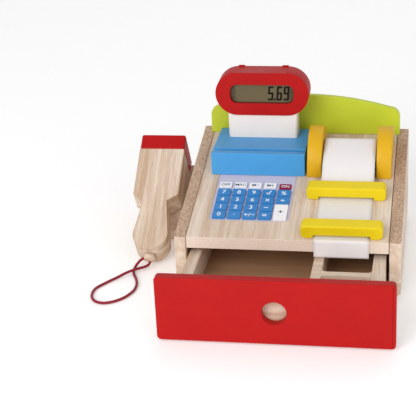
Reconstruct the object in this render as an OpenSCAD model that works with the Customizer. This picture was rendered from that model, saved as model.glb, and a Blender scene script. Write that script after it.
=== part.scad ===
// Wooden toy cash register: a sloped case with a pull-out drawer, a calculator keypad, a display
// on a pillar, a card slot, a paper roll with two guides, and a hand scanner that lies on a rest.
// Millimetres. Z is up and the drawer opens towards -Y. The origin is the bottom centre of the
// whole set with the drawer open, so the case itself stands a little to the right of it.

/* [Case] */
// Width of the case over both side panels
case_w = 230; // [225:1:240]
// Depth of the case from front to back
case_d = 205; // [203:1:215]
// Height of the case at its front edge
front_h = 62; // [60:1:66]
// Slope of the top board, in degrees
slope_a = 12; // [11:0.5:13]
// Thickness of each side panel
panel_t = 12; // [11:0.5:13]
// Upright thickness of the top board
board_t = 12.5; // [12:0.5:14]
// Thickness of the back panel
back_t = 10; // [8:1:12]
// Thickness of the bottom board
bottom_t = 6; // [5:1:6]
// Height of the rubber feet
foot_h = 4; // [3:1:5]
// Radius of the rubber feet
foot_r = 5; // [4:0.5:6]
// Gap on each side of the top board
board_gap = 0.5; // [0.2:0.1:0.8]

/* [Drawer] */
// How far the drawer stands open
drawer_open = 93; // [0:1:118]
// Gap left behind the painted front when the drawer is closed
drawer_gap = 1.5; // [1.5:0.1:2]
// Width of the painted drawer front
front_w = 229; // [220:1:229]
// Height of the top edge of the painted front
front_top = 69; // [66:1:70]
// Height of the lower edge of the painted front
front_bottom = 1.5; // [1:0.5:3]
// Thickness of the painted front
front_t = 10; // [8:1:12]
// Corner radius of the painted front
front_r = 4; // [2:1:6]
// Radius of the finger hole
finger_r = 12; // [10:1:14]
// Height of the finger hole's centre
finger_z = 34.5; // [30:0.5:38]
// Outer width of the drawer box
box_w = 200; // [196:1:203]
// Length of the drawer box
box_l = 180; // [170:1:184]
// Height of the upper edge of the drawer box
box_top = 43.5; // [40:0.5:45]
// Height of the lower edge of the drawer box
box_bottom = 10.5; // [10.4:0.1:11]
// Thickness of the drawer's side walls
wall_t = 12.5; // [10:0.5:13]
// Thickness of the drawer's front and back walls
end_t = 10; // [8:1:12]
// Thickness of the drawer floor
floor_t = 4; // [3:0.5:5]
// Left edge of the coin divider, from the case's middle
divider_x = 28.5; // [25:0.5:35]
// Thickness of the coin divider
divider_t = 9.8; // [8:0.2:12]
// Distance of the coin tray's cross bar from the front of the drawer box
bar_y = 56; // [45:1:65]
// Thickness of the coin tray's cross bar
bar_t = 8.5; // [6:0.5:10]
// Radius of the coin tray's inner corners
tray_r = 5; // [3:1:7]

/* [Keypad] */
// Middle of the keypad, from the case's middle
pad_x = -42.2; // [-44:0.1:-40]
// Front edge of the keypad plate, up the slope from the front
plate_v = 30.8; // [30:0.1:30.9]
// Width of the keypad plate
plate_w = 83; // [83:0.5:86]
// Length of the keypad plate
plate_l = 83.2; // [83:0.1:85]
// Corner radius of the keypad plate
plate_r = 4; // [2:1:6]
// Distance between key columns
pitch_x = 15.9; // [15.6:0.1:16]
// Distance between key rows
pitch_v = 13.2; // [13.1:0.1:13.3]
// Width of a blue key
blue_w = 13.8; // [13:0.1:14.4]
// Length of a blue key
blue_l = 11.7; // [11:0.1:12.2]
// Width of a key in the first row
white_w = 12.8; // [12:0.1:14]
// Length of a key in the first row
white_l = 8.8; // [8:0.1:9.6]
// Height of the key tops above the board
key_top = 2; // [1.5:0.1:2.5]
// Travel of a key
key_travel = 1.1; // [0.6:0.1:1.1]

/* [Display] */
// Front face of the card block, behind the case's front
block_y = 109; // [107:1:110]
// Depth of the card block
block_d = 76; // [70:1:80]
// Width of the card block
block_w = 101; // [96:1:102]
// Height of the card block's top
block_z = 110.6; // [108:0.2:114]
// Width of the card slot
slot_w = 6.6; // [5:0.2:8]
// Depth of the card slot
slot_depth = 15; // [10:1:18]
// Width of the pillar
pillar_w = 76; // [70:1:80]
// Depth of the pillar
pillar_d = 21; // [18:1:24]
// Width of the display housing
display_w = 102; // [96:1:106]
// Height of the display housing
display_h = 48.4; // [46:0.2:52]
// Depth of the display housing
display_d = 25; // [25:1:28]
// Width of the display window
window_w = 69.6; // [66:0.2:70]
// Height of the display window
window_h = 21; // [19:0.5:22]

/* [Back board] */
// Width of the back board
back_board_w = 211; // [205:1:214]
// Thickness of the back board
back_board_t = 7; // [6:0.5:9]
// Front face of the back board, behind the case's front
back_board_y = 191.5; // [190:0.5:193]
// Height of the back board's top at its middle
back_board_z = 148; // [140:1:155]
// Height of the back board's top at its shoulders
shoulder_z = 134.5; // [128:0.5:138]
// Radius of the back board's shoulders
shoulder_r = 11; // [8:1:14]

/* [Paper roll] */
// Middle of the paper roll, from the case's middle
roll_x = 55.3; // [54.5:0.1:56]
// Distance of the roll's axle up the slope from the front
roll_v = 147; // [144:0.2:149]
// Height of the roll's axle above the board
roll_h = 12.6; // [12.6:0.1:14]
// Radius of the paper on the roll
roll_r = 11.6; // [9:0.1:11.8]
// Radius of the roll's axle
axle_r = 5; // [4:0.5:5]
// Middle of the half-round uprights, up the slope from the front
upright_v = 146.5; // [145:0.5:148]
// Radius of the half-round uprights
upright_r = 36.5; // [34:0.5:38]
// Thickness of the uprights
upright_t = 15.7; // [12:0.1:16]
// Width of the paper
paper_w = 55.6; // [50:0.2:56]
// Width of the gap between the uprights
bay_w = 57.8; // [57.2:0.1:60]
// Width of each paper guide
guide_w = 82.4; // [78:0.2:84]
// Depth and height of each paper guide
guide_s = 15.2; // [13:0.2:16]
// Height of the passage under each guide
notch_h = 3.5; // [3:0.1:4.5]
// Front faces of the two guides, up the slope from the front
guide_v = [3.3, 69.5];
// Thickness of the paper strip
paper_t = 0.4; // [0.3:0.1:0.6]

/* [Scanner] */
// Width of the scanner's head
scanner_w = 50; // [46:1:52]
// Length of the scanner's head
head_l = 80; // [74:1:86]
// Length of the whole scanner
scanner_l = 150; // [146:1:154]
// Depth of the head at its painted end
cap_depth = 55; // [50:1:58]
// Depth of the head at its shoulders
shoulder_depth = 30; // [29:0.5:33]
// Thickness of the handle
handle_t = 29; // [26:0.5:29]
// Length of the painted cap
cap_l = 20; // [16:1:24]
// Half width of the handle at the neck
neck_r = 12.9; // [11:0.1:15]
// Half width of the handle's round end
grip_r = 19; // [17:0.5:21]
// Length of the slanted shoulders between head and handle
shoulder_l = 8; // [4:1:12]
// Tilt of the scanner on its rest, in degrees
scanner_tilt = 33; // [31:0.5:35]
// Turn of the scanner about the vertical, in degrees
scanner_yaw = 1.2; // [0:0.1:2]
// Diameter of the wrist cord
cord_d = 3; // [2.4:0.1:3]

/* [Hidden] */
$fn = 48;

// Where the scanner lies, measured from the middle of the case's front edge.
scanner_pos = [-156.4, 169.5, 107.3];
// The origin is the bottom centre of the set: the scanner reaches furthest left, the case's right
// panel furthest right, the open drawer furthest forward and the case furthest back.
set_left = scanner_pos.x - scanner_w / 2 * cos(scanner_yaw)
    - cap_depth * sin(scanner_tilt) * sin(scanner_yaw);
set_front = -drawer_open - drawer_gap - front_t;
case_x = -(set_left + case_w / 2) / 2;
case_y = -(set_front + case_d) / 2;

inner_w = case_w - 2 * panel_t;
front_under = front_h - board_t;
floor_z = box_bottom + 3;
floor_top = floor_z + floor_t;
sunk = 0.3;            // the keypad plate lies this much below the board
plate_t = 2;
pocket_h = 10;         // depth of the keypad's pocket
circuit_t = 1.6;
mat_t = 1.1;
dome_h = 0.45;
dome_r = 3;
key_foot = -pocket_h + circuit_t + mat_t + dome_h + key_travel + 0.25; // underside of a key
key_flange = 0.5;      // how far a key's foot reaches under the plate
flange_t = 2;
key_r = 1;
window_gap = 0.15;     // clearance of a key in the plate
plate_gap = 0.2;       // clearance of the plate in the board
pocket_rim = [1.8, 1.2]; // the board's ledge under the plate, at its sides and its ends
first_row = 60.2;      // middle of the first row of keys, from the plate's front edge
last_row = 7.4;        // middle of the last row of keys, from the plate's front edge
mat_w = 78;
circuit_w = 79;
channel_w = 24;        // width of the ribbon's channel
channel_h = 4.5;
channel_end = 178;     // end of the ribbon's channel, up the slope
ribbon_w = 16;
ribbon_t = 0.6;
display_y = 155.5;     // front face of the display housing
display_z = 137;       // lower edge of the display housing
pillar_y = 157;        // front face of the pillar
cable_y = 167.5;       // middle of the cable's way up the pillar
cable_gap = 5;
saddle = 3;            // how far the pillar reaches up round the housing
front_wall = 2.5;      // wall of the housing round the window
rim_t = 3.5;
cover_t = 2.5;
lens_t = 1.5;
lug_x = 24;
lug_w = 7;
lug_h = 1.2;
post_x = 42.2;
screw_r = 1.25;
slot_y = 8;            // thickness of the lip in front of the card slot
notch_w = paper_w + 1.2;
guide_r = 5;
core_r = 7;
run_gap = 0.05;        // running clearance of the paper core on its axle
scan_gap = 0.35;       // clearance between the scanner and its rest
rest_w = 46;           // width of the scanner's rest
rest_y = 112;          // front of the scanner's rest
rest_back = 196;       // back of the scanner's rest
peg_r = 5;
peg_head_r = 6.2;
peg_in = 14;           // how deep the peg goes into the handle
peg_depth = 15;        // distance of the peg below the handle's top face
foot_y = 10;           // distance of the feet from the case's front and back
stop_y = 38;           // front of the block that the drawer's tab meets
stop_t = 12;
stop_w = 50;
stop_gap = 2;          // clearance of the stop over the drawer's walls
tab_w = 40;
tab_h = 5;
groove_d = 4;          // depth of the groove that holds the drawer floor

// Height of the sloped top above the floor at a distance behind the case's front.
function slope_z(y) = front_h + y * tan(slope_a);
// A point given up the slope and above it, as [distance behind the front, height].
function slope_pt(v, h) =
    [v * cos(slope_a) - h * sin(slope_a), front_h + v * sin(slope_a) + h * cos(slope_a)];
// Points of a quadratic curve from a to c that bends towards b.
function bend(a, b, c, n) = [for (i = [0:n]) let (t = i / n)
    (1 - t) * (1 - t) * a + 2 * t * (1 - t) * b + t * t * c];
function unit(v) = v / norm(v);
// Outline of a band of even thickness along a flat path.
function band(path, t) = let (last = len(path) - 1,
    side = [for (i = [0:last]) let (d = unit(path[min(i + 1, last)] - path[max(i - 1, 0)]))
        [-d.y, d.x] * t / 2])
    concat([for (i = [0:last]) path[i] + side[i]],
        [for (i = [last:-1:0]) path[i] - side[i]]);
// A point between b and c on the smooth curve through a, b, c and d.
function between(a, b, c, d, t) = 0.5 * (2 * b + (c - a) * t + (2 * a - 5 * b + 4 * c - d) * t * t
    + (3 * b - a - 3 * c + d) * t * t * t);

// Moves shapes drawn from the middle of the case's front edge to their place.
module from_front() translate([case_x, case_y, 0]) children();
// Moves shapes drawn on the sloped top, with Y up the slope and Z off the board.
module on_slope() from_front() translate([0, 0, front_h]) rotate([slope_a, 0, 0]) children();
// Moves shapes drawn from the drawer box's front end, with the drawer standing open.
module in_drawer() from_front() translate([0, -drawer_open - drawer_gap, 0]) children();
// Moves shapes drawn from the scanner's painted end, with its top face at Z = 0.
module on_scanner() from_front() translate(scanner_pos)
    rotate([scanner_tilt, 0, scanner_yaw]) children();
// Extrudes a side view, drawn as [distance back, height], across a width about the middle.
module across(w) rotate([90, 0, 90]) translate([0, 0, -w / 2]) linear_extrude(w) children();
module rounded(w, d, r) {
    square([w - 2 * r, d], center = true);
    square([w, d - 2 * r], center = true);
    for (x = [-1, 1], y = [-1, 1])
        translate([x * (w / 2 - r), y * (d / 2 - r)]) circle(r);
}
module stadium(w, h) {
    square([w - h, h], center = true);
    for (x = [-1, 1]) translate([x * (w - h) / 2, 0]) circle(h / 2);
}
module box(lo, hi) translate(lo) cube(hi - lo);

// ---- case ----
module side_panels() color("#dcc6ae") from_front()
    for (side = [-1, 1]) translate([side * (case_w - panel_t) / 2, 0, 0]) across(panel_t)
        polygon([[0, foot_h], [case_d, foot_h], [case_d, slope_z(case_d)], [0, front_h]]);

module top_board() color("#e2cfb8") difference() {
    from_front() across(inner_w - 2 * board_gap) polygon([[0, front_under], [0, front_h],
        [case_d, slope_z(case_d)], [case_d, slope_z(case_d) - board_t]]);
    on_slope() translate([pad_x, plate_v + plate_l / 2, -plate_t - sunk])
        linear_extrude(plate_t + sunk + 1)
            rounded(plate_w + 2 * plate_gap, plate_l + 2 * plate_gap, plate_r);
    on_slope() box([pad_x - plate_w / 2 + pocket_rim.x, plate_v + pocket_rim.y, -pocket_h],
        [pad_x + plate_w / 2 - pocket_rim.x, plate_v + plate_l - pocket_rim.y, 1]);
    on_slope() box([pad_x - channel_w / 2, plate_v + plate_l - 3, -channel_h],
        [pad_x + channel_w / 2, channel_end, 1]);
}

module back_panel() color("#d8c2a8") from_front()
    box([-inner_w / 2, case_d - back_t, foot_h + bottom_t],
        [inner_w / 2, case_d, slope_z(case_d - back_t) - board_t]);

module bottom_board() color("#c9ae8c") from_front()
    box([-inner_w / 2, 0, foot_h], [inner_w / 2, case_d, foot_h + bottom_t]);

module feet() color("#e8ddd0") from_front()
    for (x = [-1, 1], y = [foot_y, case_d - foot_y])
        translate([x * (case_w / 2 - foot_r - 1), y, 0]) cylinder(h = foot_h, r = foot_r);

module drawer_stop() color("#cdb493") from_front() across(stop_w)
    polygon([[stop_y, box_top + stop_gap], [stop_y + stop_t, box_top + stop_gap],
        [stop_y + stop_t, slope_z(stop_y + stop_t) - board_t],
        [stop_y, slope_z(stop_y) - board_t]]);

// ---- drawer ----
module drawer_front() color("#c4201c") in_drawer()
    rotate([90, 0, 0]) linear_extrude(front_t) difference() {
        translate([0, (front_top + front_bottom) / 2])
            rounded(front_w, front_top - front_bottom, front_r);
        translate([0, finger_z]) circle(finger_r);
    }

module drawer_box_front() color("#e3d0b4") in_drawer()
    box([-box_w / 2, 0, box_bottom], [box_w / 2, end_t, box_top]);

module drawer_sides() color("#e3d0b4") in_drawer() difference() {
    for (side = [-1, 1]) box(
        [side * (box_w - wall_t) / 2 - wall_t / 2, end_t, box_bottom],
        [side * (box_w - wall_t) / 2 + wall_t / 2, box_l - end_t, box_top]);
    groove();
}
// The groove that holds the drawer floor.
module groove() box([-box_w / 2 + wall_t - groove_d, end_t, floor_z],
    [box_w / 2 - wall_t + groove_d, box_l - end_t, floor_top]);

module drawer_back() color("#dcc7a8") in_drawer() {
    box([-box_w / 2, box_l - end_t, box_bottom], [box_w / 2, box_l, box_top]);
    box([-tab_w / 2, box_l - end_t, box_top], [tab_w / 2, box_l, box_top + tab_h]);
}

module drawer_floor() color("#8a6c4c") in_drawer() groove();

module coin_tray() color("#e0ccae") in_drawer() {
    tray_end = box_w / 2 - wall_t;
    translate([0, 0, floor_top]) linear_extrude(box_top - floor_top) difference() {
        translate([divider_x, end_t]) square([tray_end - divider_x, box_l - 2 * end_t]);
        pocket(end_t - 2 * tray_r, bar_y);
        pocket(bar_y + bar_t, box_l - end_t + 2 * tray_r);
    }
}
// One rounded coin pocket, from y0 to y1.
module pocket(y0, y1) {
    tray_end = box_w / 2 - wall_t;
    x0 = divider_x + divider_t;
    translate([(x0 + tray_end) / 2, (y0 + y1) / 2]) rounded(tray_end - x0, y1 - y0, tray_r);
}

// ---- keypad ----
// Each key: name, column, row, width, length, height over the board, colour. A row of 3.5 lies
// between rows 3 and 4.
KEYS = [
    ["key_off", 0, 0, white_w, white_l, key_top, "white"],
    ["key_recall", 1, 0, white_w, white_l, key_top, "white"],
    ["key_memory_minus", 2, 0, white_w, white_l, key_top, "white"],
    ["key_memory_plus", 3, 0, white_w, white_l, key_top, "white"],
    ["key_on", 4, 0, white_w - 0.4, white_l - 0.6, key_top - 0.8, "#9a1636"],
    ["key_7", 0, 1], ["key_8", 1, 1], ["key_9", 2, 1], ["key_root", 3, 1], ["key_percent", 4, 1],
    ["key_4", 0, 2], ["key_5", 1, 2], ["key_6", 2, 2], ["key_times", 3, 2], ["key_divide", 4, 2],
    ["key_1", 0, 3], ["key_2", 1, 3], ["key_3", 2, 3], ["key_minus", 3, 3],
    ["key_plus", 4, 3.5, blue_w, pitch_v + blue_l, key_top, "white"],
    ["key_0", 0, 4], ["key_point", 1, 4], ["key_sign", 2, 4], ["key_equals", 3, 4]];
blue_key = [blue_w, blue_l, key_top, "#2f86cc"];
function key_row(name) = [for (k = KEYS) if (k[0] == name) k][0];
function key_size(k, i) = len(k) > 3 ? k[3 + i] : blue_key[i];
function key_x(col) = pad_x + (col - 2) * pitch_x;
// The first row stands a little apart from the blue ones.
function key_v(row) = plate_v + (row == 0 ? first_row : last_row + (4 - row) * pitch_v);

module key(name) {
    k = key_row(name);
    w = key_size(k, 0);
    d = key_size(k, 1);
    color(key_size(k, 3)) on_slope() translate([key_x(k[1]), key_v(k[2]), key_foot]) {
        linear_extrude(key_size(k, 2) - key_foot) rounded(w, d, key_r);
        linear_extrude(flange_t) rounded(w + 2 * key_flange, d, key_r);
    }
}

module keypad_plate() color("#cdc3d2") on_slope() translate([0, 0, -plate_t - sunk])
    linear_extrude(plate_t) difference() {
        translate([pad_x, plate_v + plate_l / 2]) rounded(plate_w, plate_l, plate_r);
        for (k = KEYS) translate([key_x(k[1]), key_v(k[2])])
            rounded(key_size(k, 0) + 2 * window_gap, key_size(k, 1) + 2 * window_gap, key_r);
    }

module key_mat() color("#e9e4dc") on_slope() translate([0, 0, -pocket_h + circuit_t]) {
    box([pad_x - mat_w / 2, plate_v + 3, 0], [pad_x + mat_w / 2, plate_v + 72, mat_t]);
    for (k = KEYS) translate([key_x(k[1]), key_v(k[2]), mat_t])
        cylinder(h = dome_h, r = dome_r, $fn = 24);
}

module key_circuit() color("#2f7d46") on_slope()
    box([pad_x - circuit_w / 2, plate_v + 2.5, -pocket_h],
        [pad_x + circuit_w / 2, plate_v + plate_l - 2.5, -pocket_h + circuit_t]);

// ---- card block, pillar and display ----
module cable_way(z0, z1) box([pad_x - channel_w / 2, cable_y - cable_gap / 2, z0],
    [pad_x + channel_w / 2, cable_y + cable_gap / 2, z1]);

module card_block() color("#4a9fdc") from_front() difference() {
    translate([pad_x, 0, 0]) across(block_w) difference() {
        polygon([[block_y, slope_z(block_y)], [block_y + block_d, slope_z(block_y + block_d)],
            [block_y + block_d, block_z], [block_y, block_z]]);
        translate([block_y + slot_y, block_z - slot_depth]) square([slot_w, slot_depth + 1]);
    }
    cable_way(front_h, block_z + 1);
}

module display_pillar() color("#e6e1de") from_front() difference() {
    translate([pad_x, pillar_y + pillar_d / 2, block_z])
        linear_extrude(display_z + saddle - block_z) rounded(pillar_w, pillar_d, 3);
    at_display() translate([0, 0, -1]) linear_extrude(display_d + 2)
        stadium(display_w, display_h);
    cable_way(block_z - 1, display_z + saddle + 1);
}

// Moves shapes to the display's middle, with Z from its front face to its back.
module at_display() translate([pad_x, display_y, display_z + display_h / 2])
    rotate([-90, 0, 0]) mirror([0, 1, 0]) children();

module display_housing() color("#cc2420") from_front() difference() {
    at_display() difference() {
        linear_extrude(display_d) stadium(display_w, display_h);
        translate([0, 0, front_wall]) difference() {
            linear_extrude(display_d) stadium(display_w - 2 * rim_t, display_h - 2 * rim_t);
            for (x = [-1, 1]) translate([x * post_x, 0, -1])
                cylinder(h = display_d - front_wall - cover_t + 1, r = 4);
        }
        translate([0, 0, display_d - cover_t]) linear_extrude(cover_t + 1)
            stadium(display_w - 3.6, display_h - 3.6);
        for (x = [-1, 1]) translate([x * post_x, 0, display_d - cover_t - 10])
            cylinder(h = 12, r = screw_r);
        translate([0, 0, -1]) linear_extrude(front_wall + 2) rounded(window_w, window_h, 7.5);
        for (x = [-1, 1]) translate([x * lug_x - lug_w / 2 - 0.2, 0, display_d - cover_t])
            cube([lug_w + 0.4, display_h, cover_t + 1]);
    }
    cable_way(display_z - 1, display_z + rim_t + 1);
}

module display_back_cover() color("#b51f1d") from_front() at_display() difference() {
    translate([0, 0, display_d - cover_t]) {
        linear_extrude(cover_t) stadium(display_w - 4, display_h - 4);
        for (x = [-1, 1]) translate([x * lug_x - lug_w / 2, display_h / 2 - 6, 0])
            cube([lug_w, 6 + lug_h, cover_t]);
    }
    for (x = [-1, 1]) translate([x * post_x, 0, 0]) {
        cylinder(h = display_d + 1, r = screw_r);
        translate([0, 0, display_d - 1.6]) cylinder(h = 2, r = 2.8);
    }
}

module cover_screws() color("#b9bcc0") from_front() at_display()
    for (x = [-1, 1]) translate([x * post_x, 0, 0]) difference() {
        union() {
            translate([0, 0, display_d - 11]) cylinder(h = 10, r = screw_r);
            translate([0, 0, display_d - 1.6]) cylinder(h = 1.5, r = 2.6);
        }
        translate([-2, -0.3, display_d - 0.7]) cube([4, 0.6, 1]);
        translate([-0.3, -2, display_d - 0.7]) cube([0.6, 4, 1]);
    }

module lcd_window() color("#b8b8a8", 0.5) from_front() at_display()
    translate([0, 0, front_wall]) linear_extrude(lens_t) rounded(74, 25, 8);

module lcd_module() color("#7d765a") from_front() at_display()
    translate([0, 0, front_wall + lens_t]) linear_extrude(5) square([75, 27], center = true);

module button_cells() color("#c8cacc") from_front() at_display()
    for (x = [-1, 1]) translate([x * 14, 2, front_wall + lens_t + 5])
        cylinder(h = 5.4, r = 5.8);

module ribbon_cable() color("#9aa0a6") {
    rise = [cable_y, slope_pt(cable_y / cos(slope_a), -channel_h + 1).y];
    path = concat([slope_pt(106, -pocket_h + circuit_t + ribbon_t / 2)],
        bend(slope_pt(109, -pocket_h + circuit_t + ribbon_t / 2), slope_pt(110.6, -8),
            slope_pt(111, -6), 4),
        bend(slope_pt(111, -5), slope_pt(111.3, -channel_h + 1), slope_pt(114, -channel_h + 1), 4),
        bend(slope_pt(166, -channel_h + 1), rise, rise + [0, 4], 5),
        [[cable_y, display_z + 5]]);
    from_front() translate([pad_x, 0, 0]) across(ribbon_w) polygon(band(path, ribbon_t));
}

module back_board() color("#b9cf34") from_front() difference() {
    half = back_board_w / 2;
    rise = back_board_z - shoulder_z;
    run = half - shoulder_r;
    arc_r = (run * run + rise * rise) / (2 * rise);
    translate([0, back_board_y + back_board_t, 0]) rotate([90, 0, 0])
        linear_extrude(back_board_t) {
            intersection() {
                translate([0, back_board_z - arc_r]) circle(arc_r, $fn = 240);
                translate([-run, front_h]) square([2 * run, 2 * back_board_z]);
            }
            for (x = [-1, 1]) translate([x * run, shoulder_z - shoulder_r]) circle(shoulder_r);
            translate([-half, front_h]) square([2 * half, shoulder_z - shoulder_r - front_h]);
        }
    across(back_board_w + 2)
        polygon([[0, 0], [2 * case_d, 0], [2 * case_d, slope_z(2 * case_d)], [0, front_h]]);
}

// ---- paper roll ----
axle_pt = slope_pt(roll_v, roll_h);
axle_l = bay_w + 2 * upright_t - 8;

module roll_uprights() color("#e3ae26") difference() {
    on_slope() for (side = [-1, 1])
        translate([roll_x + side * (bay_w + upright_t) / 2, upright_v, 0])
            across(upright_t) intersection() {
                circle(upright_r, $fn = 96);
                translate([-upright_r, 0]) square([2 * upright_r, upright_r]);
            }
    along_axle(axle_l, axle_r);
}
module along_axle(w, r) from_front() translate([roll_x - w / 2, axle_pt.x, axle_pt.y])
    rotate([0, 90, 0]) cylinder(h = w, r = r);

module roll_axle() color("#e8d6b8") along_axle(axle_l, axle_r);

module paper_core() color("#b08d62") difference() {
    along_axle(paper_w + 0.4, core_r);
    along_axle(paper_w + 2, axle_r + run_gap);
}

module paper_roll() color("white") difference() {
    along_axle(paper_w, roll_r);
    along_axle(paper_w + 2, core_r);
}

// The strip leaves the roll's top at a tangent, bows down to the board, runs under both guides
// and hangs over the front edge.
module paper_strip() color("#f4f2f0") {
    lift = 0.6;            // height of the strip's middle above the board
    leave_a = 105;         // where the strip leaves the roll, round from its back
    bow = 38;              // how far it goes on before it bows down
    hang_y = -0.85;        // the hanging end stays clear of the closed drawer's front
    leave = axle_pt + (roll_r + paper_t / 2 + 0.35) * [cos(leave_a), sin(leave_a)];
    path = concat(
        bend(leave, leave + bow * [-sin(leave_a), cos(leave_a)], slope_pt(91, 3.4), 10),
        bend(slope_pt(90.6, 2.6), slope_pt(89.6, lift), slope_pt(86.5, lift), 4),
        bend(slope_pt(1.2, lift), [hang_y, front_h + 0.55], [hang_y, front_h - 1], 6),
        [[hang_y, front_h - 17.6]]);
    from_front() translate([roll_x, 0, 0]) across(paper_w - 0.4) polygon(band(path, paper_t));
}

module paper_guides() color("#ead722") on_slope()
    for (v = guide_v) translate([roll_x, v + guide_s, 0]) rotate([90, 0, 0])
        linear_extrude(guide_s) difference() {
            translate([0, guide_s / 2]) rounded(guide_w, guide_s, guide_r);
            translate([-notch_w / 2, -1]) square([notch_w, notch_h + 1]);
        }

// ---- scanner ----
module head_profile() polygon([[0, 0], [0, -cap_depth], [-head_l, -shoulder_depth], [-head_l, 0]]);

module scanner_body() color("#e3ceb0") on_scanner() difference() {
    union() {
        across(scanner_w) intersection() {
            head_profile();
            translate([-head_l, -cap_depth]) square([head_l - cap_l, cap_depth]);
        }
        translate([0, 0, -handle_t]) linear_extrude(handle_t) {
            polygon([[-scanner_w / 2, -head_l], [scanner_w / 2, -head_l],
                [neck_r, -head_l - shoulder_l], [grip_r, -scanner_l + grip_r],
                [-grip_r, -scanner_l + grip_r], [-neck_r, -head_l - shoulder_l]]);
            translate([0, -scanner_l + grip_r]) circle(grip_r);
        }
    }
    at_peg() translate([0, 0, -peg_in]) cylinder(h = 30, r = peg_r);
}

module scanner_cap() color("#c81f1e") on_scanner() across(scanner_w) intersection() {
    head_profile();
    translate([-cap_l, -cap_depth]) square([cap_l, cap_depth]);
}

// Moves shapes to the handle's end, with Z pointing out of it.
module at_peg() translate([0, -scanner_l, -peg_depth]) rotate([90, 0, 0]) children();

module cord_peg() color("#e2c592") on_scanner() at_peg() rotate_extrude()
    polygon([[0, -peg_in], [peg_r, -peg_in], [peg_r, 1], [peg_head_r, 1.2], [peg_head_r, 3.2],
        [peg_head_r - 1.6, 5], [0, 5.6]]);

// Both ends of the cord go into the peg; the loop lies on the floor and crosses itself once.
cord_z = cord_d / 2 + 0.1;
CORD = [[-154, 49.5, 11.5], [-158.4, 49.8, 11.2], [-163, 50.2, 9.2], [-166.8, 49, 5.6],
    [-169.2, 45.2, 2.6], [-169.6, 38.6, cord_z], [-167.4, 29.6, cord_z], [-163, 19.5, cord_z],
    [-159.6, 8, cord_z], [-159.2, -4.5, cord_z], [-162, -15, cord_z], [-167.5, -25, cord_z],
    [-175.8, -32.8, cord_z], [-185.5, -36.4, cord_z], [-194.8, -32.7, cord_z],
    [-200.7, -21.8, cord_z], [-200.8, -6.5, cord_z], [-193, 7.5, cord_z], [-182.8, 19.5, 2.6],
    [-175.5, 26.8, 4.2], [-168.5, 33, 4.9], [-163.2, 38, 4.6], [-158.4, 43, 4.1],
    [-154.8, 47.2, 4.9], [-153.7, 50, 7.6], [-153.6, 50.8, 11.5]];

module wrist_cord() color("#a01230") {
    last = len(CORD) - 1;
    steps = 2;
    spine = concat([for (i = [0:last - 1], s = [0:steps - 1])
        between(CORD[max(i - 1, 0)], CORD[i], CORD[i + 1], CORD[min(i + 2, last)], s / steps)],
        [CORD[last]]);
    n = len(spine);
    sides = 8;
    rings = [for (i = [0:n - 1]) let (
        along = unit(spine[min(i + 1, n - 1)] - spine[max(i - 1, 0)]),
        side = unit(cross([0, 0, 1], along)), up = cross(along, side))
        for (a = [0:sides - 1]) spine[i]
            + cord_d / 2 * (side * cos(a * 360 / sides) + up * sin(a * 360 / sides))];
    from_front() polyhedron(rings, concat([[for (a = [0:sides - 1]) a]],
        [for (i = [0:n - 2], a = [0:sides - 1]) let (b = (a + 1) % sides)
            [i * sides + a, (i + 1) * sides + a, (i + 1) * sides + b, i * sides + b]],
        [[for (a = [sides - 1:-1:0]) (n - 1) * sides + a]]));
}

// A wedge beside the case that carries the scanner's head and neck.
module scanner_rest() color("#b98f66") difference() {
    from_front() box([-case_w / 2 - rest_w, rest_y, foot_h], [-case_w / 2, rest_back, front_h]);
    on_scanner() across(3 * scanner_w) polygon([[60, 100], [60, -cap_depth - 60
        * (cap_depth - shoulder_depth) / head_l - scan_gap], [-head_l, -shoulder_depth - scan_gap],
        [-head_l - 1, -handle_t - scan_gap], [-scanner_l - 20, -handle_t - scan_gap],
        [-scanner_l - 20, 100]]);
}

side_panels();
top_board();
back_panel();
bottom_board();
feet();
drawer_stop();
back_board();
card_block();
display_pillar();
display_housing();
display_back_cover();
cover_screws();
lcd_window();
lcd_module();
button_cells();
ribbon_cable();
keypad_plate();
key_mat();
key_circuit();
roll_uprights();
roll_axle();
paper_roll();
paper_core();
paper_strip();
paper_guides();
scanner_rest();
drawer_front();
drawer_box_front();
drawer_sides();
drawer_back();
drawer_floor();
coin_tray();
scanner_body();
scanner_cap();
cord_peg();
wrist_cord();
key("key_off");  // key_off
key("key_recall");  // key_recall
key("key_memory_minus");  // key_memory_minus
key("key_memory_plus");  // key_memory_plus
key("key_on");  // key_on
key("key_7");  // key_7
key("key_8");  // key_8
key("key_9");  // key_9
key("key_root");  // key_root
key("key_percent");  // key_percent
key("key_4");  // key_4
key("key_5");  // key_5
key("key_6");  // key_6
key("key_times");  // key_times
key("key_divide");  // key_divide
key("key_1");  // key_1
key("key_2");  // key_2
key("key_3");  // key_3
key("key_minus");  // key_minus
key("key_plus");  // key_plus
key("key_0");  // key_0
key("key_point");  // key_point
key("key_sign");  // key_sign
key("key_equals");  // key_equals
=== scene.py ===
"""Visual model of a wooden toy cash register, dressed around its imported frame."""
import logging
import math
from dataclasses import dataclass, field
from enum import Enum
from functools import cache

import bpy
from mathutils import Matrix, Vector


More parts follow.
